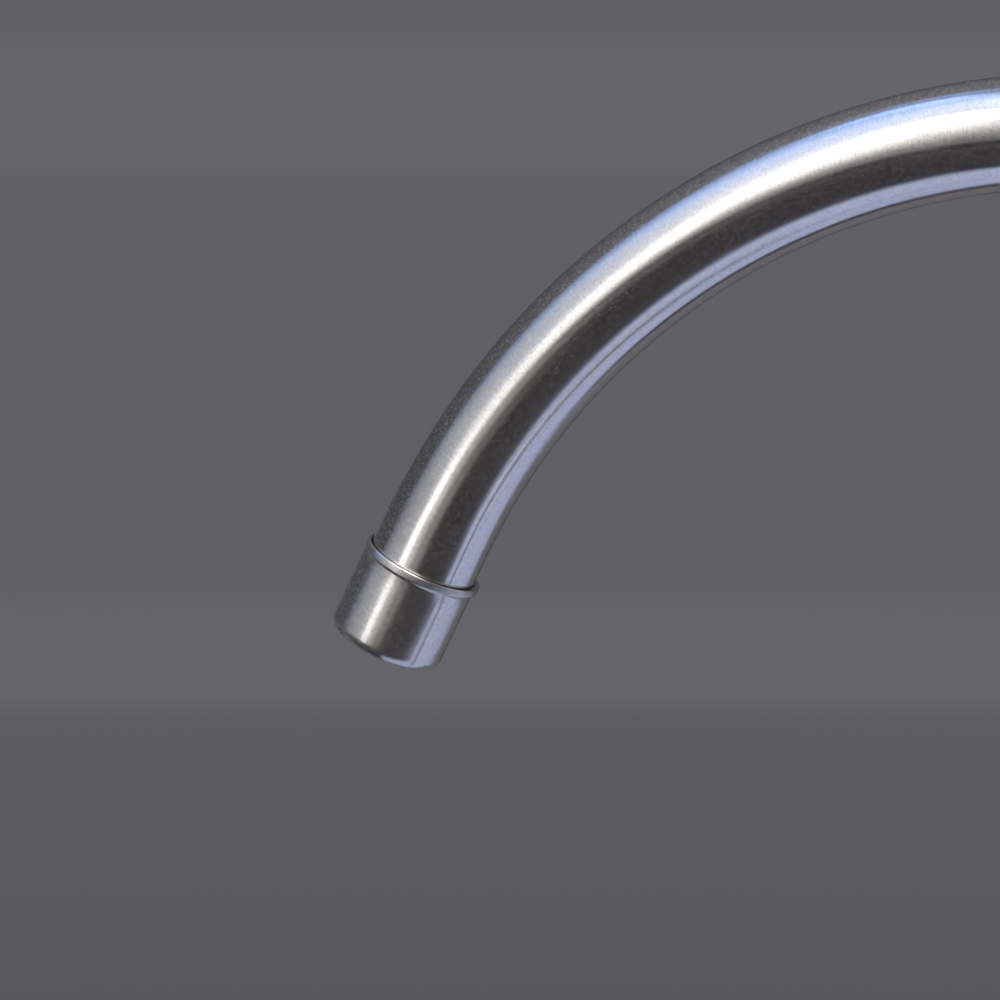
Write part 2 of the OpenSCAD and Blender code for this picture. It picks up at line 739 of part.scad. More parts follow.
// Tapered rod with a round end, screwed into the hub
module handle_lever() {
    root_r = lever_d / 2;
    tip_r = lever_tip_d / 2;
    lever_len = lever_reach - lever_seat;
    groove_at = 2.4;
    groove_w = 1.4;
    groove_depth = 0.35;
    color(steel) translate([lever_x, 0, valve_z + lever_seat]) {
        rotate_extrude() polygon(concat(
            [[0, 0], [root_r - chamfer, 0], [root_r, chamfer], [root_r, groove_at]],
            [[root_r - groove_depth, groove_at + chamfer]],
            [[root_r - groove_depth, groove_at + groove_w - chamfer]],
            [[root_r, groove_at + groove_w]],
            arc(0, lever_len - tip_r, tip_r, 0, 90)
        ));
        translate([0, 0, -stud_len]) cylinder(d = stud_d, h = stud_len);
    }
}

// Grub screw with a hexagon socket, tight on the flat of the spindle
module handle_screw() {
    socket_af = 2;
    socket_depth = 2.5;
    tip = 0.5;
    color(steel) translate([lever_x, 0, valve_z - flat_at - snug_gap - grub_len]) difference() {
        union() {
            cylinder(d = grub_d, h = grub_len - tip);
            translate([0, 0, grub_len - tip]) cylinder(d1 = grub_d, d2 = grub_d - 2 * tip, h = tip);
        }
        translate([0, 0, -cut])
            cylinder(r = socket_af / 2 / cos(30), h = socket_depth + cut, $fn = 6);
    }
}

module rubber_washer() {
    color(rubber) translate([0, 0, rubber_top - rubber_t])
        ring(shank_r + loose_gap, rubber_d / 2, rubber_t);
}

// Flat spacer with a raised edge that keeps the rubber washer centred on the hole
module spacer_washer() {
    web = 1.2;
    rim_w = 2;
    pad_w = 2; // how far the pad under the nut stands out past the nut's flats
    color(plastic_dark) translate([0, 0, spacer_top - spacer_t]) difference() {
        turned(rubber_d / 2, spacer_t, chamfer, chamfer);
        translate([0, 0, -cut]) cylinder(r = shank_r + loose_gap, h = spacer_t + 2 * cut);
        translate([0, 0, -cut])
            ring(nut_hex / 2 + pad_w, rubber_d / 2 - rim_w, spacer_t - web + cut);
    }
}

// Toothed washer that bites into the nut
module lock_washer() {
    tooth_h = 1.4;
    tip_r = nut_hex / 2 - 0.2;
    root_r = tip_r - tooth_h;
    step = 360 / star_teeth;
    color(steel) translate([0, 0, star_top - star_t]) linear_extrude(star_t) difference() {
        polygon([for (i = [0:star_teeth - 1], p = [[0, 0], [0.2, 1], [0.6, 1], [0.8, 0]])
            let (r = root_r + (tip_r - root_r) * p[1], a = (i + p[0]) * step)
                [r * cos(a), r * sin(a)]]);
        circle(r = shank_r + loose_gap);
    }
}

// Hexagon nut with its corners chamfered by a cone on both faces
module lock_nut() {
    across = nut_hex / cos(30);
    bevel = (across - nut_hex) / 2;
    slope = bevel * tan(30);
    color(brass) translate([0, 0, nut_top - nut_t]) difference() {
        intersection() {
            cylinder(d = across, h = nut_t, $fn = 6);
            rotate_extrude() polygon([
                [0, 0], [nut_hex / 2, 0], [across / 2, slope],
                [across / 2, nut_t - slope], [nut_hex / 2, nut_t], [0, nut_t]
            ]);
        }
        translate([0, 0, -cut]) cylinder(r = shank_hole_r, h = nut_t + 2 * cut);
        translate([0, 0, -cut])
            cylinder(r1 = shank_hole_r + thread_chamfer + cut, r2 = shank_hole_r, h = thread_chamfer + cut);
    }
}

// Push-fit adapter: threaded above for the shank, stepped below for the ring and the collet
module inlet_adapter() {
    weld = 0.01; // how far the narrow bore runs into its neighbours
    color(plastic_pale) translate([0, 0, adapter_bottom]) difference() {
        turned(adapter_d / 2, adapter_len, 1, 1);
        for (i = [0:flutes - 1])
            rotate([0, 0, i * 360 / flutes])
                translate([adapter_d / 2 + flute_r - flute_depth, 0, adapter_len - grip_h])
                    cylinder(r = flute_r, h = grip_h + cut, $fn = 24);
        translate([0, 0, cone_bottom - adapter_bottom])
            cylinder(r = shank_hole_r, h = adapter_top - cone_bottom + cut);
        translate([0, 0, tube_stop - adapter_bottom - weld])
            cylinder(d = water_tube_d - 2 * tube_shoulder, h = tube_shoulder_t + 2 * weld);
        translate([0, 0, -cut]) cylinder(r = socket_r, h = tube_stop - adapter_bottom + cut);
        translate([0, 0, -cut]) cylinder(r = chamber_bore_r, h = ring_seat_top - adapter_bottom + cut);
    }
}

module cone_washer() {
    color(rubber) translate([0, 0, cone_bottom]) ring(shank_bore / 2, shank_r, cone_t);
}

module adapter_o_ring() {
    color(rubber) translate([0, 0, ring_seat_top - adapter_ring_cord / 2])
        o_ring(socket_r, adapter_ring_cord);
}

// Spring steel ring whose teeth grip the water tube
module grab_ring() {
    teeth = 8;
    slit_w = 0.5;
    slit_len = 1.1;
    color(steel) translate([0, 0, ring_seat_bottom - grab_t]) linear_extrude(grab_t) difference() {
        circle(r = retainer_r);
        circle(r = socket_r);
        for (i = [0:teeth - 1])
            rotate([0, 0, i * 360 / teeth])
                translate([socket_r - slit_w, -slit_w / 2]) square([slit_len + slit_w, slit_w]);
    }
}

// Ring pressed into the mouth of the adapter, which keeps the collet in
module collet_retainer() {
    color(plastic_dark) translate([0, 0, adapter_bottom])
        ring(retainer_bore_r, retainer_r, retainer_h);
}

// Sliding sleeve with four fingers that opens the grab ring when it is pressed
module collet() {
    head_r = chamber_bore_r - loose_gap;
    head_bottom = collet_top - collet_head_h;
    head_bevel = 0.5;
    flange_r = collet_flange_d / 2;
    flange_bottom = collet_flange_top - collet_flange_t;
    slot_w = 0.9;
    slot_start = 1.2; // closed part of the sleeve below the slots
    color(plastic_dark) difference() {
        rotate_extrude() polygon([
            [collet_bore_r, flange_bottom], [flange_r - chamfer, flange_bottom],
            [flange_r, flange_bottom + chamfer], [flange_r, collet_flange_top],
            [collet_sleeve_r, collet_flange_top], [collet_sleeve_r, head_bottom],
            [head_r, head_bottom], [head_r, collet_top - head_bevel],
            [head_r - head_bevel, collet_top], [collet_bore_r, collet_top]
        ]);
        for (a = [0:90:270])
            rotate([0, 0, a]) translate([socket_r / 2, -slot_w / 2, collet_flange_top + slot_start])
                cube([head_r, slot_w, collet_top - collet_flange_top]);
    }
}

spout_tube();
tip_cap();
flow_straightener();
tip_washer();
spout_stem();
stem_o_rings();
glide_ring();
spout_collar();
tap_body();
base_flange();
base_gasket();
threaded_shank();
cartridge_housing();
housing_o_ring();
seat_seal();
fixed_disc();
moving_disc();
spindle();
spindle_o_rings();
spindle_clip();
cartridge_cover();
handle_hub();
handle_lever();
handle_screw();
rubber_washer();
spacer_washer();
lock_washer();
lock_nut();
inlet_adapter();
cone_washer();
adapter_o_ring();
grab_ring();
collet_retainer();
collet();
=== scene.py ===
import math

import bpy
from mathutils import Matrix, Quaternion, Vector


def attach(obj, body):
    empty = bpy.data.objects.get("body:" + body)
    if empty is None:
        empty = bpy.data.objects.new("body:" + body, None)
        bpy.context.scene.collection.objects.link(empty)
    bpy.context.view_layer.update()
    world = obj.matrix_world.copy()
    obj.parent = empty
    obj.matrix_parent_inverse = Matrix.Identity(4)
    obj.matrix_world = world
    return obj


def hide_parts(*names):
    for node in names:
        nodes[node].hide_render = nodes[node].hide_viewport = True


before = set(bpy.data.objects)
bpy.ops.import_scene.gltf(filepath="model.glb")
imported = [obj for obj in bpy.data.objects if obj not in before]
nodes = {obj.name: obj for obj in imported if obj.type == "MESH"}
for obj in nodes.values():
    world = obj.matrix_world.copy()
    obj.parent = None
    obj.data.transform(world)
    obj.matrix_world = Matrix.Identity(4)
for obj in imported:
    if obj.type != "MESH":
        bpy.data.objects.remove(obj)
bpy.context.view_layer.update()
scene = bpy.context.scene
scene.view_settings.view_transform = "Standard"
print("frame loaded:", len(nodes), "nodes")

# camera: a long lens close to the tip of the spout, from the lever's side
cameraFacts = {
    "yaw": 22.1,  # degrees from +X towards +Y
    "elevation": 5.5,
    "distance": 0.45,  # to the lip of the cap, along the view
    "lip": (0, -0.12893, 0.21558),
    "lipPixel": (423.7, 561.5),
    "focalPixels": 4975,
    "frameSize": 1000,
    "sensor": 36,
    "clip": (0.01, 50),
}


def makeCamera(facts):
    yaw, rise = math.radians(facts["yaw"]), math.radians(facts["elevation"])
    back = Vector((math.cos(yaw) * math.cos(rise), math.sin(yaw) * math.cos(rise), math.sin(rise)))
    right = Vector((-math.sin(yaw), math.cos(yaw), 0))
    up = back.cross(right)
    half = facts["frameSize"] / 2
    across = (facts["lipPixel"][0] - half) / facts["focalPixels"]
    down = (facts["lipPixel"][1] - half) / facts["focalPixels"]
    data = bpy.data.cameras.new("photoCamera")
    data.sensor_width = facts["sensor"]
    data.lens = facts["sensor"] * facts["focalPixels"] / facts["frameSize"]
    data.clip_start, data.clip_end = facts["clip"]
    camera = bpy.data.objects.new("photoCamera", data)
    camera.location = Vector(facts["lip"]) + facts["distance"] * (back - across * right + down * up)
    camera.rotation_mode = "QUATERNION"
    camera.rotation_quaternion = back.to_track_quat("Z", "Y")
    scene.collection.objects.link(camera)
    scene.camera = camera


makeCamera(cameraFacts)
print("camera placed")


# small helpers for node trees
def feed(tree, socket, value):  # a link from another socket, or a plain value
    if isinstance(value, bpy.types.NodeSocket):
        tree.links.new(value, socket)
    elif socket.type == "RGBA":
        socket.default_value = (*value, 1)
    else:
        socket.default_value = value


def calc(tree, operation, *values):  # a math node
    node = tree.nodes.new("ShaderNodeMath")
    node.operation = operation
    for socket, value in zip(node.inputs, values):
        feed(tree, socket, value)
    return node.outputs[0]


def sums(tree):  # the four plain sums, on the sockets of one tree
    def sumOf(operation):
        return lambda first, second: calc(tree, operation, first, second)

    return [sumOf(operation) for operation in ("ADD", "SUBTRACT", "MULTIPLY", "DIVIDE")]


def vec(tree, operation, vector):  # a vector math node
    node = tree.nodes.new("ShaderNodeVectorMath")
    node.operation = operation
    feed(tree, node.inputs[0], vector)
    return node.outputs["Value" if operation == "LENGTH" else "Vector"]


def xyz(tree, x, y, z):
    node = tree.nodes.new("ShaderNodeCombineXYZ")
    for socket, value in zip(node.inputs, (x, y, z)):
        feed(tree, socket, value)
    return node.outputs[0]


def parts(tree, vector):
    node = tree.nodes.new("ShaderNodeSeparateXYZ")
    feed(tree, node.inputs[0], vector)
    return node.outputs[0], node.outputs[1], node.outputs[2]


def remap(tree, value, low, high, toLow=0.0, toHigh=1.0, smooth=False):
    node = tree.nodes.new("ShaderNodeMapRange")
    node.interpolation_type = "SMOOTHSTEP" if smooth else "LINEAR"
    labels = ("Value", "From Min", "From Max", "To Min", "To Max")
    for label, number in zip(labels, (value, low, high, toLow, toHigh)):
        feed(tree, node.inputs[label], number)
    return node.outputs[0]


def noise(tree, vector, scale, detail, rough=0.5, w=None, distortion=0.0):
    node = tree.nodes.new("ShaderNodeTexNoise")
    node.noise_dimensions = "3D" if w is None else "4D"
    feed(tree, node.inputs["Vector"], vector)
    if w is not None:
        feed(tree, node.inputs["W"], w)
    feed(tree, node.inputs["Scale"], scale)
    feed(tree, node.inputs["Detail"], detail)
    feed(tree, node.inputs["Roughness"], rough)
    feed(tree, node.inputs["Distortion"], distortion)
    return node.outputs["Fac"]


def mixColour(tree, share, first, second, blend="MIX"):
    node = tree.nodes.new("ShaderNodeMix")
    node.data_type = "RGBA"
    node.blend_type = blend
    feed(tree, node.inputs["Factor"], share)
    feed(tree, node.inputs[6], first)  # the node's two colour sockets
    feed(tree, node.inputs[7], second)
    return node.outputs[2]


def colourRamp(tree, share, stops):
    ramp = tree.nodes.new("ShaderNodeValToRGB")
    elements = ramp.color_ramp.elements
    while len(elements) > len(stops):
        elements.remove(elements[-1])
    while len(elements) < len(stops):
        elements.new(1.0)
    for element, (at, colour) in zip(elements, stops):
        element.position = at
        element.color = (*colour, 1)
    feed(tree, ramp.inputs[0], share)
    return ramp.outputs[0]


def addBump(tree, shader, height, strength, depth):
    bump = tree.nodes.new("ShaderNodeBump")
    bump.inputs["Strength"].default_value = strength
    bump.inputs["Distance"].default_value = depth
    feed(tree, bump.inputs["Height"], height)
    feed(tree, shader.inputs["Normal"], bump.outputs[0])


def startMaterial(name):
    material = bpy.data.materials.new(name)
    material.use_nodes = True
    tree = material.node_tree
    place = tree.nodes.new("ShaderNodeTexCoord").outputs["Object"]
    return material, tree, tree.nodes["Principled BSDF"], place


def makeGroup(name, kind, inputs, outputs):
    tree = bpy.data.node_groups.new(name, kind)
    for label, sort, value in inputs:
        socket = tree.interface.new_socket(label, in_out="INPUT", socket_type=sort)
        if value is not None:
            socket.default_value = value
    for label, sort in outputs:
        tree.interface.new_socket(label, in_out="OUTPUT", socket_type=sort)
    return tree, tree.nodes.new("NodeGroupInput"), tree.nodes.new("NodeGroupOutput")


def useGroup(tree, group, **values):
    node = tree.nodes.new("ShaderNodeGroup")
    node.node_tree = group
    for label, value in values.items():
        feed(tree, node.inputs[label], value)
    return node


# room: a plain grey wall with two paler boards across it
roomFacts = {
    "wall": 0.117,  # how pale the wall is, then its boards, then the skirting below them
    "board": 0.130,
    "skirting": 0.106,
    "skirtingFoot": -0.17,
    # edges going up: sine of the elevation, how soft the edge is and what lies above it
    "edges": [
        (-0.138, 0.0015, "board"),
        (-0.115, 0.006, "wall"),
        (-0.0305, 0.0025, "board"),
        (-0.0025, 0.0055, "wall"),
    ],
    # past what the photo shows: sine of the elevation, then how pale the room is there
    "below": [(-0.42, 0.038), (-0.27, 0.085), (-0.20, 0.095)],
    "above": [(0.14, 0.060), (0.33, 0.080), (0.5, 0.118), (0.8, 0.185)],
    "tint": (1.0, 0.992, 1.10),
    "lowTint": (1.0, 0.87, 0.85),
    "lowEnd": -0.25,  # below this the wall is warm and dark
    "behind": 0.55,  # how much of it is left behind the camera
    "behindTurn": -20,  # degrees from the camera to the middle of that side
    "behindEdge": (0.3, 0.8),  # cosines where that side begins and is complete
}


def wallGreys(facts):  # from the lowest up
    greys = [*facts["below"], (facts["skirtingFoot"], facts["skirting"])]
    for at, soft, above in facts["edges"]:
        greys += [(at - soft, greys[-1][1]), (at + soft, facts[above])]
    return greys + facts["above"]


def makeRoom(facts):
    world = bpy.data.worlds.new("greyRoom")
    world.use_nodes = True
    scene.world = world
    tree = world.node_tree
    background = tree.nodes["Background"]
    place = tree.nodes.new("ShaderNodeTexCoord")
    east, north, height = parts(tree, place.outputs["Generated"])
    greys = wallGreys(facts)
    low, high = greys[0][0], greys[-1][0]
    stops = []
    for at, level in greys:
        tint = facts["lowTint"] if at < facts["lowEnd"] else facts["tint"]
        stops.append(((at - low) / (high - low), [level * share for share in tint]))
    feed(tree, background.inputs["Color"], colourRamp(tree, remap(tree, height, low, high), stops))
    yaw = math.radians(cameraFacts["yaw"] + facts["behindTurn"])
    towards = calc(tree, "MULTIPLY", east, math.cos(yaw))
    towards = calc(tree, "MULTIPLY_ADD", north, math.sin(yaw), towards)
    strength = remap(tree, towards, *facts["behindEdge"], 1.0, facts["behind"], smooth=True)
    feed(tree, background.inputs["Strength"], strength)


makeRoom(roomFacts)


def evenGlow(colour):  # the same over the whole box
    return [(0.0, colour, colour, colour)]


# lamps: soft boxes placed by direction from the tip, as the camera sees it
# (turn 0 is towards the camera, minus is to its left)
lampFacts = [
    {
        "name": "wideBox",
        "turn": -78.7,
        "rise": 35,
        "away": 1.2,
        "size": (1.08, 2.01),
        # share of the height, then the glow at the left edge, inside it and at the right edge
        "glow": [
            (0.12, (0.00, 0.00, 0.02), (0.13, 0.13, 0.14), (0.37, 0.38, 0.41)),
            (0.22, (0.00, 0.00, 0.02), (0.18, 0.18, 0.19), (0.51, 0.53, 0.59)),
            (0.31, (0.00, 0.01, 0.03), (0.235, 0.26, 0.31), (0.64, 0.67, 0.76)),
            (0.40, (0.00, 0.02, 0.06), (0.32, 0.37, 0.48), (0.84, 0.86, 0.90)),
            (0.50, (0.01, 0.05, 0.16), (0.41, 0.53, 0.82), (0.98, 1.00, 1.03)),
            (0.60, (0.04, 0.13, 0.38), (0.42, 0.58, 1.00), (1.00, 1.02, 1.05)),
            (0.80, (0.14, 0.30, 0.75), (0.42, 0.62, 1.08), (1.02, 1.03, 1.06)),
            (0.93, (0.50, 0.78, 1.40), (0.44, 0.66, 1.15), (1.02, 1.03, 1.06)),
        ],
        "soft": (0.015, 0.02, 0.06, 0.03),  # fades at the left, right, bottom and top
        "inside": 0.33,  # share of the width where the inner glow begins
    },
    {
        "name": "stripBox",
        "turn": -46.9,
        "rise": 20.1,
        "roll": -5,
        "away": 1.2,
        "size": (0.40, 1.58),
        "glow": [
            (0.077, (0.50, 0.50, 0.52), (0.65, 0.65, 0.65), (1.1, 1.07, 1.04)),
            (0.195, (0.70, 0.70, 0.73), (0.90, 0.90, 0.90), (1.3, 1.27, 1.24)),
            (0.337, (1.3, 1.3, 1.35), (1.6, 1.6, 1.6), (1.8, 1.78, 1.76)),
            (0.532, (1.35, 1.35, 1.4), (1.6, 1.6, 1.62), (1.9, 1.9, 1.9)),
            (0.95, (1.2, 1.2, 1.25), (1.6, 1.6, 1.62), (1.9, 1.9, 1.9)),
        ],
        "soft": (0.06, 0.22, 0.10, 0.08),
        "inside": 0.3,
    },
    {
        "name": "crownBox",
        "turn": -130,
        "rise": 63,
        "away": 1.2,
        "size": (0.55, 0.36),
        "glow": evenGlow((0.14, 0.26, 0.60)),
        "soft": (0.3, 0.2, 0.45, 0.2),
        "inside": 0.5,
    },
    {
        "name": "lowBox",
        "turn": -40,
        "rise": -9,
        "roll": -27,
        "away": 0.13,
        "spread": 76,  # degrees, so that it reaches little but the tip
        "size": (0.075, 0.044),
        "glow": [(0.0, (1.25, 1.22, 1.19), (1.15, 1.10, 1.06), (0.02, 0.02, 0.02))],
        "soft": (0.10, 0.35, 0.40, 0.35),
        "inside": 0.5,
    },
    {
        "name": "fillBox",
        "turn": -26,
        "rise": -15.5,
        "roll": -27,
        "away": 0.09,
        "spread": 34,
        "size": (0.055, 0.034),
        "glow": evenGlow((0.42, 0.40, 0.39)),
        "soft": (0.45, 0.45, 0.45, 0.45),
        "inside": 0.5,
    },
    {
        "name": "topBox",
        "turn": 20,
        "rise": 66,
        "away": 1.4,
        "size": (1.1, 1.1),
        "glow": evenGlow((6.2, 6.2, 6.2)),
        "soft": (0.2, 0.2, 0.2, 0.2),
        "inside": 0.5,
    },
    {
        "name": "rightBox",
        "turn": 105,
        "rise": 35,
        "away": 1.5,
        "size": (1.4, 1.2),
        "glow": evenGlow((0.8, 0.8, 0.82)),
        "soft": (0.3, 0.3, 0.3, 0.3),
        "inside": 0.5,
    },
]


def paintLamp(tree, facts):  # the glow over the box, fading at its four edges
    emission = tree.nodes["Emission"]
    place = tree.nodes.new("ShaderNodeNewGeometry")
    u, v, _ = parts(tree, place.outputs["Parametric"])
    columns = [colourRamp(tree, v, [(row[0], row[i]) for row in facts["glow"]]) for i in (1, 2, 3)]
    inside = facts["inside"]
    glow = mixColour(tree, remap(tree, u, 0.0, inside), columns[0], columns[1])
    glow = mixColour(tree, remap(tree, u, inside, 1.0), glow, columns[2])
    feed(tree, emission.inputs["Color"], glow)
    left, right, bottom, top = facts["soft"]
    fades = []
    for value, low, high in ((u, left, right), (v, bottom, top)):
        fades.append(remap(tree, value, 0.0, low, smooth=True))
        fades.append(remap(tree, value, 1.0, 1.0 - high, smooth=True))
    total = calc(tree, "MULTIPLY", fades[0], fades[1])
    total = calc(tree, "MULTIPLY", total, calc(tree, "MULTIPLY", fades[2], fades[3]))
    feed(tree, emission.inputs["Strength"], total)


def makeLamp(facts):
    data = bpy.data.lights.new(facts["name"], "AREA")
    data.shape = "RECTANGLE"
    data.size, data.size_y = facts["size"]
    data.energy = 4 * data.size * data.size_y  # a glow of 1 over the whole box
    if "spread" in facts:
        data.spread = math.radians(facts["spread"])
        half = data.spread / 2
        data.energy *= 1 - half / math.tan(half)  # a narrow beam is no brighter
    data.use_nodes = True
    paintLamp(data.node_tree, facts)
    turn = math.radians(facts["turn"] + cameraFacts["yaw"])
    rise = math.radians(facts["rise"])
    away = Vector((math.cos(turn) * math.cos(rise), math.sin(turn) * math.cos(rise), math.sin(rise)))
    lamp = bpy.data.objects.new(facts["name"], data)
    lamp.location = Vector(cameraFacts["lip"]) + facts["away"] * away
    lamp.rotation_mode = "QUATERNION"
    roll = Quaternion((0, 0, 1), math.radians(facts.get("roll", 0)))
    lamp.rotation_quaternion = away.to_track_quat("Z", "Y") @ roll
    lamp.visible_camera = False
    scene.collection.objects.link(lamp)


for facts in lampFacts:
    makeLamp(facts)

# floor: a plain pale table top
floorFacts = {
    "radius": 0.95,
    "height": -0.0841,
    "pale": (0.55, 0.60, 0.82),
    "swing": 0.04,  # how much paler and darker it gets in places
    "cloudScale": 9.0,
    "roughness": 0.7,
    "specular": 0.2,
    "sides": 128,
    "rings": 6,
}

# dark cards just above the table, which only mirrored rays see: the steel mirrors them as the
# table's edges and as the seam across it
cardFacts = {
    "height": -0.0837,
    "nearDark": (0.036, 0.028, 0.026),
    "edgeDark": (0.028, 0.031, 0.038),
    "farLip": (0.05, 0.04, 0.036),
    "farDark": (0.21, 0.20, 0.20),
    # each edge of the table top: a point on it, the direction into the table, and how soft it is
    "nearEdge": ((0.108, 0.0), (-1.0, -0.1), 0.035),
    "farEdge": ((-0.195, 0.0), (1.0, 0.39), 0.004),
    "farBand": ((-0.275, 0.0), (1.0, 0.39), 0.012),
    "backEdge": ((-0.22, 0.03), (0.39, 1.0), 0.03),
    "seam": ((-0.055, 0.0), (1.0, 0.28), 0.004),
    "frontEdge": ((0.0, -0.25), (-0.3, 1.0), 0.02),
    "seamDark": 0.6,  # how much of the card shows in the middle of the seam
    # metres along X over which the far colours give way to the edge's, and those to the near ones
    "farToEdge": (0.0, 0.01),
    "edgeToNear": (0.17, 0.30),
}


def insideEdge(tree, x, y, edge):  # 0 outside a straight edge, 1 inside it
    (px, py), (dx, dy), soft = edge
    size = math.hypot(dx, dy)
    depth = calc(tree, "MULTIPLY_ADD", x, dx / size, -(px * dx + py * dy) / size)
    depth = calc(tree, "MULTIPLY_ADD", y, dy / size, depth)
    return remap(tree, depth, -soft, soft, smooth=True)


def makeDisc(name, facts, height):
    points = [(0, 0, height)]
    faces = []
    sides, rings = facts["sides"], facts["rings"]
    for ring in range(1, rings + 1):
        reach = facts["radius"] * ring / rings
        for i in range(sides):
            a = 2 * math.pi * i / sides
            points.append((reach * math.cos(a), reach * math.sin(a), height))
    for i in range(sides):
        j = (i + 1) % sides
        faces.append((0, 1 + i, 1 + j))
        for ring in range(1, rings):
            inner, outer = 1 + (ring - 1) * sides, 1 + ring * sides
            faces.append((inner + i, outer + i, outer + j, inner + j))
    mesh = bpy.data.meshes.new(name)
    mesh.from_pydata(points, [], faces)
    disc = bpy.data.objects.new(name, mesh)
    scene.collection.objects.link(disc)
    material, tree, shader, place = startMaterial(name)
    shader.inputs["Roughness"].default_value = facts["roughness"]
    shader.inputs["Specular IOR Level"].default_value = facts["specular"]
    mesh.materials.append(material)
    return disc, tree, shader, place


def makeFloor(facts):
    _, tree, shader, place = makeDisc("paleTable", facts, facts["height"])
    paler = tuple(min(c * (1 + facts["swing"]), 1) for c in facts["pale"])
    darker = tuple(c * (1 - facts["swing"]) for c in facts["pale"])
    cloud = noise(tree, place, facts["cloudScale"], detail=3.0)
    feed(tree, shader.inputs["Base Color"], mixColour(tree, cloud, darker, paler))


def makeCards(facts):
    cards, tree, shader, place = makeDisc("darkCards", floorFacts, facts["height"])
    _, sub, mul, _ = sums(tree)
    x, y, _ = parts(tree, place)
    near, far, back, front = [
        insideEdge(tree, x, y, facts[edge]) for edge in ("nearEdge", "farEdge", "backEdge", "frontEdge")
    ]
    top = mul(mul(near, calc(tree, "MAXIMUM", far, back)), front)
    seam = insideEdge(tree, x, y, facts["seam"])
    gap = mul(mul(seam, sub(1.0, seam)), 4 * facts["seamDark"])  # the product peaks at a quarter
    farBand = insideEdge(tree, x, y, facts["farBand"])
    farSide = mixColour(tree, farBand, facts["farDark"], facts["farLip"])
    nearShare = remap(tree, x, *facts["edgeToNear"])
    nearSide = mixColour(tree, nearShare, facts["edgeDark"], facts["nearDark"])
    around = mixColour(tree, remap(tree, x, *facts["farToEdge"]), farSide, nearSide)
    feed(tree, shader.inputs["Base Color"], mixColour(tree, top, around, facts["nearDark"]))
    feed(tree, shader.inputs["Alpha"], sub(1.0, mul(top, sub(1.0, gap))))
    cards.visible_camera = False
    cards.visible_diffuse = False
    cards.visible_shadow = False


makeFloor(floorFacts)
makeCards(cardFacts)
print("room, lamps, table and cards made")

noiseSpan = (0.3, 0.7)  # most of a noise's values lie between these

# brushed grain, shared by every metal finish
grainGroup, grainIn, grainOut = makeGroup(
    "brushedGrain",
    "ShaderNodeTree",
    [
        ("Ring", "NodeSocketVector", None),  # unit direction round the axis
        ("Along", "NodeSocketFloat", 0.0),  # metres along the axis
        ("Out", "NodeSocketFloat", 0.0),  # metres out from the axis, on flat faces
        ("Width", "NodeSocketFloat", 0.00012),  # of one line
        ("Count", "NodeSocketFloat", 9.0),  # how many streaks make one turn
    ],
    [("Lines", "NodeSocketFloat"), ("Broad", "NodeSocketFloat"), ("Height", "NodeSocketFloat")],
)


def fillGrain(tree, source, sink):
    add, _, mul, div = sums(tree)
    get = source.outputs
    broadShare = 0.11  # the broad bands are about nine lines wide
    reach = div(get["Count"], 2 * math.pi)
    ringX, ringY, _ = parts(tree, get["Ring"])
    x, y = mul(ringX, reach), mul(ringY, reach)
    step, outStep = div(get["Along"], get["Width"]), div(get["Out"], get["Width"])
    fine = noise(tree, xyz(tree, x, y, step), 1.0, detail=2.0, rough=0.6, w=outStep)
    broadPlace = xyz(tree, x, y, mul(step, broadShare))
    broad = noise(tree, broadPlace, 0.7, detail=3.0, rough=0.55, w=mul(outStep, broadShare))
    feed(tree, sink.inputs["Lines"], fine)
    feed(tree, sink.inputs["Broad"], broad)
    feed(tree, sink.inputs["Height"], add(fine, mul(broad, 0.5)))


fillGrain(grainGroup, grainIn, grainOut)

# fine specks in the brushed face, brighter and darker, warmer and cooler
speckGroup, speckIn, speckOut = makeGroup(
    "steelSpecks",
    "ShaderNodeTree",
    [("Vector", "NodeSocketVector", None), ("Size", "NodeSocketFloat", 0.00036)],
    [("Bright", "NodeSocketFloat"), ("Warm", "NodeSocketFloat"), ("Flecks", "NodeSocketFloat")],
)


def fillSpecks(tree, source, sink):
    vector = source.outputs["Vector"]
    scale = calc(tree, "DIVIDE", 1.0, source.outputs["Size"])
    finer = calc(tree, "MULTIPLY", scale, 1.6)
    # w is the seed that keeps the three patterns apart
    bright = noise(tree, vector, scale, detail=2.0, rough=0.6, w=0.0)
    warm = noise(tree, vector, scale, detail=1.0, w=7.3)
    fleck = noise(tree, vector, finer, detail=1.0, w=3.1)
    feed(tree, sink.inputs["Bright"], remap(tree, bright, *noiseSpan))
    feed(tree, sink.inputs["Warm"], remap(tree, warm, *noiseSpan))
    feed(tree, sink.inputs["Flecks"], remap(tree, fleck, 0.55, 0.72))


fillSpecks(speckGroup, speckIn, speckOut)

# dull patches where hands and water have been
wearGroup, wearIn, wearOut = makeGroup(
    "handledPatches",
    "ShaderNodeTree",
    [("Vector", "NodeSocketVector", None), ("Size", "NodeSocketFloat", 0.012)],
    [("Patches", "NodeSocketFloat")],
)


def fillWear(tree, source, sink):
    scale = calc(tree, "DIVIDE", 1.0, source.outputs["Size"])
    cloud = noise(tree, source.outputs["Vector"], scale, detail=3.0, rough=0.55, w=0.0, distortion=0.4)
    feed(tree, sink.inputs["Patches"], remap(tree, cloud, 0.42, 0.68, smooth=True))


fillWear(wearGroup, wearIn, wearOut)

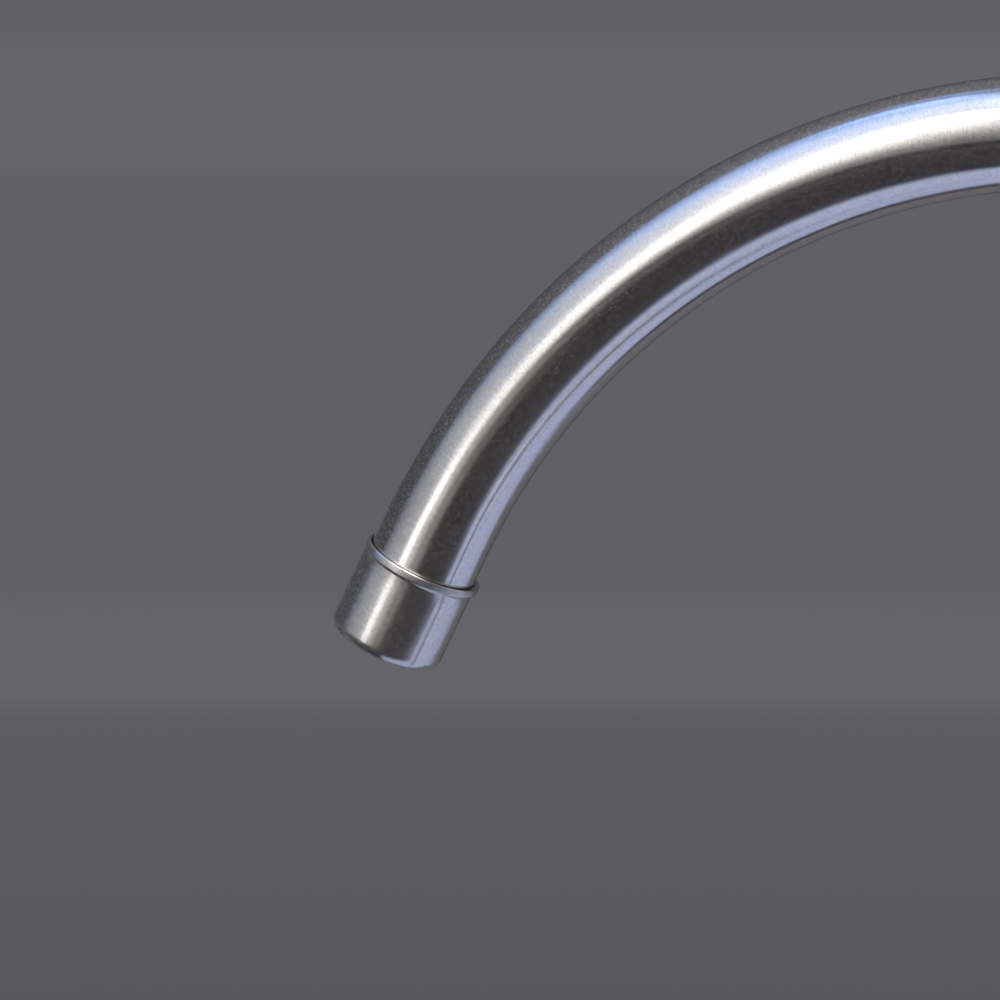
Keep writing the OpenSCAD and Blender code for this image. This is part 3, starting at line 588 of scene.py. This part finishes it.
# metal finishes
steelFacts = {
    "colour": (0.66, 0.645, 0.625),
    "warm": (1.045, 0.995, 0.955),  # tints of the two kinds of speck
    "cool": (0.965, 1.0, 1.045),
    "speckSwing": 0.17,  # how much the specks change the brightness
    "lineSwing": 0.05,  # and the brushed lines
    "roughness": 0.15,
    "roughSwing": 0.02,
    "handled": 0.03,  # how much duller the handled patches are
    "stretch": 0.93,  # how far the shine is drawn out along the axis
    "bump": 0.22,
    "bumpDepth": 0.00001,
    "lineWidth": 0.00016,
    "lineCount": 14.0,
    "film": 0.05,  # the most that dirt takes from the bare metal
    "flecks": 0.14,  # and what single specks take as well
    "fleckDark": 0.06,  # how much darker those specks are
}


def alongMap(tree, shader):  # by the piece's own map: metres along it, and share of a turn round it
    flat = tree.nodes.new("ShaderNodeUVMap")
    flat.uv_map = "UVMap"
    length, turn, _ = parts(tree, flat.outputs[0])
    angle = calc(tree, "MULTIPLY", turn, 2 * math.pi)
    tangent = tree.nodes.new("ShaderNodeTangent")
    tangent.direction_type = "UV_MAP"
    tangent.uv_map = "UVMap"
    feed(tree, shader.inputs["Tangent"], tangent.outputs[0])
    return xyz(tree, calc(tree, "COSINE", angle), calc(tree, "SINE", angle), 0.0), length, 0.0


def alongAxis(tree, place, axis):  # by a turned piece's axis, once that is centred and upright
    centred = tree.nodes.new("ShaderNodeMapping")
    centred.vector_type = "TEXTURE"
    feed(tree, centred.inputs["Vector"], place)
    feed(tree, centred.inputs["Location"], axis["centre"])
    feed(tree, centred.inputs["Rotation"], axis["turn"])
    x, y, length = parts(tree, centred.outputs[0])
    outwards = xyz(tree, x, y, 0.0)
    return vec(tree, "NORMALIZE", outwards), length, vec(tree, "LENGTH", outwards)


def makeMetal(name, facts, axis=None):
    material, tree, shader, place = startMaterial(name)
    add, sub, mul, _ = sums(tree)
    ring, length, out = alongMap(tree, shader) if axis is None else alongAxis(tree, place, axis)
    lines = {"Width": facts["lineWidth"], "Count": facts["lineCount"]}
    grain = useGroup(tree, grainGroup, Ring=ring, Along=length, Out=out, **lines)
    wear = useGroup(tree, wearGroup, Vector=place)
    specks = useGroup(tree, speckGroup, Vector=place)
    bright, flecks = specks.outputs["Bright"], specks.outputs["Flecks"]
    tint = mixColour(tree, specks.outputs["Warm"], facts["cool"], facts["warm"])
    base = mixColour(tree, 1.0, facts["colour"], tint, "MULTIPLY")
    swing = facts["lineSwing"]
    streak = remap(tree, grain.outputs["Lines"], *noiseSpan, 1 - swing, 1 + swing)
    swing = facts["speckSwing"]
    level = mul(streak, calc(tree, "MULTIPLY_ADD", bright, swing, 1 - swing / 2))
    level = mul(level, calc(tree, "MULTIPLY_ADD", flecks, -facts["fleckDark"], 1.0))
    shade = mixColour(tree, 1.0, base, xyz(tree, level, level, level), "MULTIPLY")
    feed(tree, shader.inputs["Base Color"], shade)
    film = calc(tree, "MULTIPLY_ADD", bright, facts["film"], mul(flecks, facts["flecks"]))
    feed(tree, shader.inputs["Metallic"], sub(1.0, film))
    swing = facts["roughSwing"]
    rough = add(facts["roughness"] - swing, mul(grain.outputs["Broad"], 2 * swing))
    rough = add(rough, mul(wear.outputs["Patches"], facts["handled"]))
    if "dullBand" in facts:  # a duller cut edge, by metres along the piece's own map
        low, high, soft, amount = facts["dullBand"]
        band = mul(remap(tree, length, low, low + soft), remap(tree, length, high, high - soft))
        rough = calc(tree, "MULTIPLY_ADD", band, amount, rough)
    feed(tree, shader.inputs["Roughness"], rough)
    shader.inputs["Anisotropic"].default_value = facts["stretch"] if axis is None else 0.0
    addBump(tree, shader, grain.outputs["Height"], facts["bump"], facts["bumpDepth"])
    return material


upright = {"centre": (0, 0, 0), "turn": (0, 0, 0)}  # the riser's own axis
valveAxis = {"centre": (0, 0, 0.03), "turn": (0, math.pi / 2, 0)}
leverAxis = {"centre": (0.0389, 0, 0), "turn": (0, 0, 0)}
innerFacts = {**steelFacts, "colour": (0.55, 0.55, 0.56), "roughness": 0.28}
brassFacts = {**steelFacts, "colour": (0.76, 0.58, 0.29), "roughness": 0.25}

tubeSteel = makeMetal("brushedTubeSteel", steelFacts)
turnedSteel = makeMetal("turnedSteel", steelFacts, upright)
valveSteel = makeMetal("turnedValveSteel", steelFacts, valveAxis)
leverSteel = makeMetal("turnedLeverSteel", steelFacts, leverAxis)
innerSteel = makeMetal("plainTurnedSteel", innerFacts, upright)
turnedBrass = makeMetal("turnedBrass", brassFacts, upright)
valveBrass = makeMetal("turnedValveBrass", brassFacts, valveAxis)

# rubber, ceramic and plastics: bump is the depth of a grain, swing how much the colour varies
plainFacts = {
    "blackRubber": {
        "colour": (0.030, 0.030, 0.031), "swing": 0.15, "roughness": 0.62, "specular": 0.35,
        "grain": 0.00025, "bump": 0.00003,
    },
    "lappedCeramic": {
        "colour": (0.82, 0.81, 0.77), "swing": 0.02, "roughness": 0.18, "specular": 0.5,
        "grain": 0.0004, "bump": 0.000004,
    },
    "paleAcetal": {
        "colour": (0.70, 0.70, 0.71), "swing": 0.03, "roughness": 0.38, "specular": 0.5,
        "grain": 0.0003, "bump": 0.00001,
    },
    "blackNylon": {
        "colour": (0.045, 0.045, 0.050), "swing": 0.12, "roughness": 0.45, "specular": 0.45,
        "grain": 0.0003, "bump": 0.000015,
    },
}


def makePlain(name, facts):
    material, tree, shader, place = startMaterial(name)
    wear = useGroup(tree, wearGroup, Vector=place, Size=0.009)
    pebble = noise(tree, place, 1 / facts["grain"], detail=3.0, rough=0.6)
    cloud = noise(tree, place, 90.0, detail=3.0)
    swing = facts["swing"]
    dark = tuple(c * (1 - swing) for c in facts["colour"])
    light = tuple(min(c * (1 + swing) + 0.004, 1) for c in facts["colour"])
    feed(tree, shader.inputs["Base Color"], mixColour(tree, cloud, dark, light))
    handled = 0.05  # the patches are this much rougher and the rest as much smoother
    rough = calc(tree, "MULTIPLY", wear.outputs["Patches"], 2 * handled)
    feed(tree, shader.inputs["Roughness"], calc(tree, "ADD", facts["roughness"] - handled, rough))
    shader.inputs["Specular IOR Level"].default_value = facts["specular"]
    addBump(tree, shader, pebble, 0.5, facts["bump"])
    return material


plain = {name: makePlain(name, facts) for name, facts in plainFacts.items()}

finishOf = {
    "spout_tube": turnedSteel,
    "tip_cap": turnedSteel,
    "spout_collar": turnedSteel,
    "tap_body": turnedSteel,
    "base_flange": turnedSteel,
    "cartridge_cover": valveSteel,
    "handle_hub": valveSteel,
    "handle_lever": leverSteel,
    "handle_screw": innerSteel,
    "spout_stem": innerSteel,
    "spindle_clip": innerSteel,
    "lock_washer": innerSteel,
    "grab_ring": innerSteel,
    "threaded_shank": innerSteel,
    "lock_nut": turnedBrass,
    "cartridge_housing": valveBrass,
    "spindle": valveBrass,
    "fixed_disc": plain["lappedCeramic"],
    "moving_disc": plain["lappedCeramic"],
    "flow_straightener": plain["paleAcetal"],
    "glide_ring": plain["paleAcetal"],
    "inlet_adapter": plain["paleAcetal"],
    "spacer_washer": plain["blackNylon"],
    "collet_retainer": plain["blackNylon"],
    "collet": plain["blackNylon"],
}
for name, node in nodes.items():  # what isn't named above is a rubber seal, washer or gasket
    node.data.materials.clear()
    node.data.materials.append(finishOf.get(name, plain["blackRubber"]))
print("materials made")


# helpers for the pieces that Geometry Nodes make from a flat sheet of rows and columns
def startShape(name, facts):  # a tree with an input for each size, and one for the finish
    sockets = []
    for label, value in facts.items():
        sort = "NodeSocketInt" if isinstance(value, int) else "NodeSocketFloat"
        sockets.append((label, sort, value))
    sockets.append(("Finish", "NodeSocketMaterial", None))
    return makeGroup(name, "GeometryNodeTree", sockets, [("Geometry", "NodeSocketGeometry")])


def flatSheet(tree, last, sides):  # the sheet, and each point's row and its share of a turn
    add, _, mul, _ = sums(tree)
    grid = tree.nodes.new("GeometryNodeMeshGrid")
    feed(tree, grid.inputs["Vertices X"], add(last, 1.0))
    feed(tree, grid.inputs["Vertices Y"], add(sides, 1.0))
    x, y, _ = parts(tree, tree.nodes.new("GeometryNodeInputPosition").outputs[0])
    return grid.outputs["Mesh"], mul(add(x, 0.5), last), add(y, 0.5)


def passOn(tree, kind, geometry, **values):  # a shape through one more geometry node
    node = tree.nodes.new(kind)
    feed(tree, node.inputs[0], geometry)
    for label, value in values.items():
        feed(tree, node.inputs[label], value)
    return node.outputs[0]


def endShape(tree, geometry, finish, sink):  # weld the sheet's edges, shade it and give it its finish
    geometry = passOn(tree, "GeometryNodeMergeByDistance", geometry, Distance=1e-6)
    geometry = passOn(tree, "GeometryNodeSetShadeSmooth", geometry)
    geometry = passOn(tree, "GeometryNodeRealizeInstances", geometry)
    geometry = passOn(tree, "GeometryNodeSetMaterial", geometry, Material=finish)
    feed(tree, sink.inputs[0], geometry)


def grow(name, tree, values, sharpAngle=35):  # the tree's result as a plain mesh
    piece = bpy.data.objects.new(name, bpy.data.meshes.new(name))
    scene.collection.objects.link(piece)
    modifier = piece.modifiers.new("grow", "NODES")
    modifier.node_group = tree
    for item in tree.interface.items_tree:
        if item.item_type == "SOCKET" and item.in_out == "INPUT" and item.name in values:
            modifier[item.identifier] = values[item.name]
    graph = bpy.context.evaluated_depsgraph_get()
    grown = piece.evaluated_get(graph)
    made = bpy.data.meshes.new_from_object(grown, preserve_all_data_layers=True, depsgraph=graph)
    piece.modifiers.clear()
    piece.data = made
    made.name = name
    made.set_sharp_from_angle(angle=math.radians(sharpAngle))
    return piece


# spout tube: riser, arch and straight tip swept by Geometry Nodes
tubeFacts = {
    "Riser Foot": 0.0562,  # height of the tube's foot, inside the stem
    "Arch Height": 0.1875,  # height of the middle of the arch
    "Bend Radius": 0.0675,
    "Bend Angle": 153.4,
    "Tip Length": 0.00952,
    "Tube Radius": 0.005,
    "Wall": 0.0008,
    "Flattening": 0.013,  # how far the bend squeezes the round section
    "Squeeze In": 0.15,  # radians of bend over which that begins, and over which it ends
    "Squeeze Out": 0.1,
    "Rings": 230,
    "Sides": 96,
}


def sweepTree():
    tree, source, sink = startShape("sweptTube", tubeFacts)
    add, sub, mul, div = sums(tree)
    get = source.outputs
    rings, bendRadius = get["Rings"], get["Bend Radius"]
    # rows go out along the outside and back in the bore, and the last meets the first
    last = calc(tree, "MULTIPLY_ADD", rings, 2.0, 2.0)
    sheet, row, turn = flatSheet(tree, last, get["Sides"])
    middle = add(rings, 0.5)
    share = div(sub(middle, calc(tree, "ABSOLUTE", sub(row, middle))), rings)
    share = remap(tree, share, 0.0, 1.0)
    bore = mul(calc(tree, "GREATER_THAN", row, middle), calc(tree, "LESS_THAN", row, sub(last, 0.5)))
    angle = calc(tree, "RADIANS", get["Bend Angle"])
    riser, arch = sub(get["Arch Height"], get["Riser Foot"]), mul(bendRadius, angle)
    length = mul(share, add(add(riser, arch), get["Tip Length"]))
    bend = div(sub(length, riser), bendRadius)
    bend = calc(tree, "MINIMUM", calc(tree, "MAXIMUM", bend, 0.0), angle)
    climb = calc(tree, "MINIMUM", length, riser)
    tip = calc(tree, "MAXIMUM", sub(length, add(riser, arch)), 0.0)
    sine, cosine = calc(tree, "SINE", bend), calc(tree, "COSINE", bend)
    middleY = sub(mul(bendRadius, sub(cosine, 1.0)), mul(tip, sine))
    middleZ = add(add(add(get["Riser Foot"], climb), mul(bendRadius, sine)), mul(tip, cosine))
    rise = remap(tree, bend, 0.0, get["Squeeze In"], smooth=True)
    fall = remap(tree, sub(angle, bend), 0.0, get["Squeeze Out"], smooth=True)
    squeeze = mul(get["Flattening"], mul(rise, fall))
    radius = sub(get["Tube Radius"], mul(bore, get["Wall"]))
    around = mul(turn, 2 * math.pi)
    side = mul(calc(tree, "SINE", around), mul(radius, add(1.0, squeeze)))
    inPlane = mul(calc(tree, "COSINE", around), mul(radius, sub(1.0, squeeze)))
    place = xyz(tree, side, add(middleY, mul(inPlane, cosine)), add(middleZ, mul(inPlane, sine)))
    store = tree.nodes.new("GeometryNodeStoreNamedAttribute")
    store.data_type = "FLOAT2"
    store.domain = "CORNER"
    feed(tree, store.inputs["Geometry"], sheet)
    feed(tree, store.inputs["Name"], "UVMap")
    feed(tree, store.inputs["Value"], xyz(tree, length, turn, 0.0))
    tube = passOn(tree, "GeometryNodeSetPosition", store.outputs[0], Position=place)
    endShape(tree, tube, get["Finish"], sink)
    return tree


spoutTube = grow("spoutTube", sweepTree(), {**tubeFacts, "Finish": tubeSteel})
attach(spoutTube, "spout")
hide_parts("spout_tube")
print("spout tube swept:", len(spoutTube.data.polygons), "faces")

# tip cap: a drawn cup with a turned-out lip and a rolled lower edge, in millimetres
capFacts = {
    "lipAfterBend": 2.4,  # straight tube between the end of the bend and the lip
    "inner": 5.055,
    "outer": 5.3125,
    "length": 8.84,
    "round": 1.15,
    "sheet": 0.30,
    "outlet": 3.9,
    "bodyShift": 0.0625,  # the body sits a little to the outside of the bend
    "lipShift": -0.08,  # and the lip a little to the inside
    "shiftSide": (0.302, -0.953),
    "lipOuter": 5.52,
    "lipInner": 5.25,
    "bandHeight": 0.66,  # the straight part of the lip
    "flareHeight": 0.24,  # the slope under it
    "hollow": 0.6,  # how hollow that slope is
    "lipStep": 0.03,  # the slope ends this far inside the lip's face
    "stepHeight": 0.05,
    "shoulder": 0.25,  # height of the slope inside the lip
    "rim": 0.10,  # rounding of the lip's upper edge
    "rimStart": 0.12,  # where the lip's face stops short of it
    "sides": 360,
    "steps": {"round": 16, "wall": 6, "slope": 7, "rim": 8, "mouth": 6, "inside": 8},
    "finish": {"roughness": 0.21, "roughSwing": 0.03},
    "lipDull": 0.17,  # how much duller the lip is
    "dullEdge": 0.1,  # over which that begins and ends
}


def arcPoints(cx, cz, radius, start, end, steps):
    out = []
    for i in range(steps + 1):
        a = math.radians(start + (end - start) * i / steps)
        out.append((cx + radius * math.cos(a), cz + radius * math.sin(a)))
    return out


def capProfile(facts):  # out from the axis, up from the outlet, and sideways
    outer, inner, low, top = facts["outer"], facts["inner"], facts["round"], facts["length"]
    body, lip, rim, steps = facts["bodyShift"], facts["lipShift"], facts["rim"], facts["steps"]
    lipOuter, lipInner, lipStep = facts["lipOuter"], facts["lipInner"], facts["lipStep"]
    foot = top - facts["bandHeight"]
    root = foot - facts["flareHeight"]
    profile = [(facts["outlet"], 0.0, 0.0)]
    profile += [(r, z, body) for r, z in arcPoints(outer - low, low, low, -90, 0, steps["round"])]
    for i in range(1, steps["wall"] + 1):
        profile.append((outer, low + (root - low) * i / steps["wall"], body))
    for i in range(1, steps["slope"] + 1):  # a hollow slope out to the band
        t = i / steps["slope"]
        ease = t * t * (1 + facts["hollow"] - facts["hollow"] * t)
        reach = outer + (lipOuter - lipStep - outer) * ease
        profile.append((reach, root + facts["flareHeight"] * t, body + (lip - body) * ease))
    profile.append((lipOuter - lipStep / 2, foot + facts["stepHeight"], lip))
    profile.append((lipOuter, top - facts["rimStart"], lip))
    edge = arcPoints(lipOuter - rim, top - rim, rim, 0, 90, steps["rim"])
    edge += arcPoints(lipInner + rim, top - rim, rim, 90, 180, steps["mouth"])
    profile += [(r, z, lip) for r, z in edge]
    profile.append((lipInner, foot, lip))
    profile.append((inner, foot - facts["shoulder"], 0.0))
    inRound = low - facts["sheet"]
    inside = arcPoints(inner - inRound, low, inRound, 0, -90, steps["inside"])
    profile += [(r, z, 0.0) for r, z in inside]
    profile.append((facts["outlet"], facts["sheet"], 0.0))
    return profile


def tipMatrix(facts):  # from the cap's own axis to the end of the spout
    bend = tubeFacts["Bend Radius"]
    outlet = (facts["lipAfterBend"] + facts["length"]) / 1000
    return (
        Matrix.Translation((0, -bend, tubeFacts["Arch Height"]))
        @ Matrix.Rotation(math.radians(tubeFacts["Bend Angle"] - 180), 4, "X")
        @ Matrix.Translation((0, -bend, -outlet))
    )


def runLengths(profile):  # metres along the profile at each of its points
    lengths = [0.0]
    for first, second in zip(profile, profile[1:] + profile[:1]):
        lengths.append(lengths[-1] + math.hypot(second[0] - first[0], second[1] - first[1]) / 1000)
    return lengths


def capFinish(facts, profile):  # the tube's steel, satin all over and duller on the lip
    bandFoot = facts["length"] - facts["bandHeight"] + facts["stepHeight"]
    onLip = [length for length, point in zip(runLengths(profile), profile) if point[1] >= bandFoot]
    band = (min(onLip), max(onLip), facts["dullEdge"] / 1000, facts["lipDull"])
    return {**steelFacts, **facts["finish"], "dullBand": band}


def turnedPiece(name, profile, sides, place, material, shiftSide):
    count = len(profile)
    sx, sy = shiftSide
    lengths = runLengths(profile)
    points, faces, flat = [], [], []
    for i in range(sides):
        a = 2 * math.pi * i / sides
        for r, z, shift in profile:
            x, y = r * math.cos(a) + shift * sx, r * math.sin(a) + shift * sy
            points.append(place @ Vector((x / 1000, y / 1000, z / 1000)))
    for i in range(sides):
        j = (i + 1) % sides
        for k in range(count):
            m = (k + 1) % count
            faces.append((i * count + k, j * count + k, j * count + m, i * count + m))
            u0, u1, v0, v1 = lengths[k], lengths[k + 1], i / sides, (i + 1) / sides
            flat += [(u0, v0), (u0, v1), (u1, v1), (u1, v0)]
    mesh = bpy.data.meshes.new(name)
    mesh.from_pydata(points, [], faces)
    layer = mesh.uv_layers.new(name="UVMap")
    for loop, uv in zip(layer.data, flat):
        loop.uv = uv
    mesh.shade_smooth()
    mesh.set_sharp_from_angle(angle=math.radians(40))
    mesh.materials.append(material)
    piece = bpy.data.objects.new(name, mesh)
    scene.collection.objects.link(piece)
    return piece


def makeCap(facts):
    profile = capProfile(facts)
    steel = makeMetal("drawnCapSteel", capFinish(facts, profile))
    return turnedPiece("tipCap", profile, facts["sides"], tipMatrix(facts), steel, facts["shiftSide"])


tipCap = makeCap(capFacts)
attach(tipCap, "spout")
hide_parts("tip_cap")
print("tip cap turned:", len(tipCap.data.polygons), "faces")

# shank: the thread that the plain solid leaves out, wound by Geometry Nodes
threadFacts = {
    "Foot": -0.058,
    "Top": 0.0175,
    "Crest Radius": 0.005555,
    "Thread Depth": 0.00058,
    "Pitch": 0.0010583,
    "Bore Radius": 0.00325,
    "Lead In": 0.0006,  # where the thread fades out at both ends
    "Floor Edge": 0.06,  # pitches from the groove's middle to where its floor ends
    "Crest Edge": 0.40,  # and to where the crest begins
    "Samples": 8,  # rows in one pitch
    "Sides": 48,
}


def threadTree():
    tree, source, sink = startShape("woundThread", threadFacts)
    add, sub, mul, div = sums(tree)

    def pick(share, first, second):  # first where the share is 0, second where it is 1
        return add(mul(first, sub(1.0, share)), mul(second, share))

    get = source.outputs
    foot, top, crest = get["Foot"], get["Top"], get["Crest Radius"]
    turns = add(calc(tree, "CEIL", div(sub(top, foot), get["Pitch"])), 1.0)
    outer = mul(turns, get["Samples"])  # last row of the thread, then the bore and back to the start
    last = add(outer, 3.0)
    sheet, row, turn = flatSheet(tree, last, get["Sides"])
    row = calc(tree, "ROUND", row)
    wound = div(row, get["Samples"])
    climb = mul(sub(add(wound, turn), 1.0), get["Pitch"])
    z = calc(tree, "MINIMUM", calc(tree, "MAXIMUM", add(foot, climb), foot), top)
    # the small addition keeps a row on a whole turn from falling back into the last one
    wave = calc(tree, "ABSOLUTE", sub(calc(tree, "FRACT", add(wound, 0.001)), 0.5))
    wave = remap(tree, wave, get["Floor Edge"], get["Crest Edge"])  # 0 on the floor, 1 on the crest
    fromEnds = calc(tree, "MINIMUM", sub(z, foot), sub(top, z))
    wave = mul(wave, remap(tree, fromEnds, 0.0, get["Lead In"]))
    radius = sub(crest, mul(get["Thread Depth"], sub(1.0, wave)))
    onReturn = calc(tree, "GREATER_THAN", row, sub(last, 0.5))
    pastThread = calc(tree, "GREATER_THAN", row, add(outer, 0.5))
    low = calc(tree, "GREATER_THAN", row, add(outer, 1.5))
    bore = mul(pastThread, calc(tree, "LESS_THAN", row, sub(last, 0.5)))
    z = pick(low, z, foot)
    radius = pick(bore, radius, get["Bore Radius"])
    radius = pick(onReturn, radius, sub(crest, get["Thread Depth"]))
    around = mul(turn, 2 * math.pi)
    x, y = mul(calc(tree, "COSINE", around), radius), mul(calc(tree, "SINE", around), radius)
    shank = passOn(tree, "GeometryNodeSetPosition", sheet, Position=xyz(tree, x, y, z))
    shank = passOn(tree, "GeometryNodeFlipFaces", shank)  # outwards
    endShape(tree, shank, get["Finish"], sink)
    return tree


shankThread = grow("shankThread", threadTree(), {**threadFacts, "Finish": innerSteel})
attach(shankThread, "base")
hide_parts("threaded_shank")
print("shank thread wound:", len(shankThread.data.polygons), "faces")
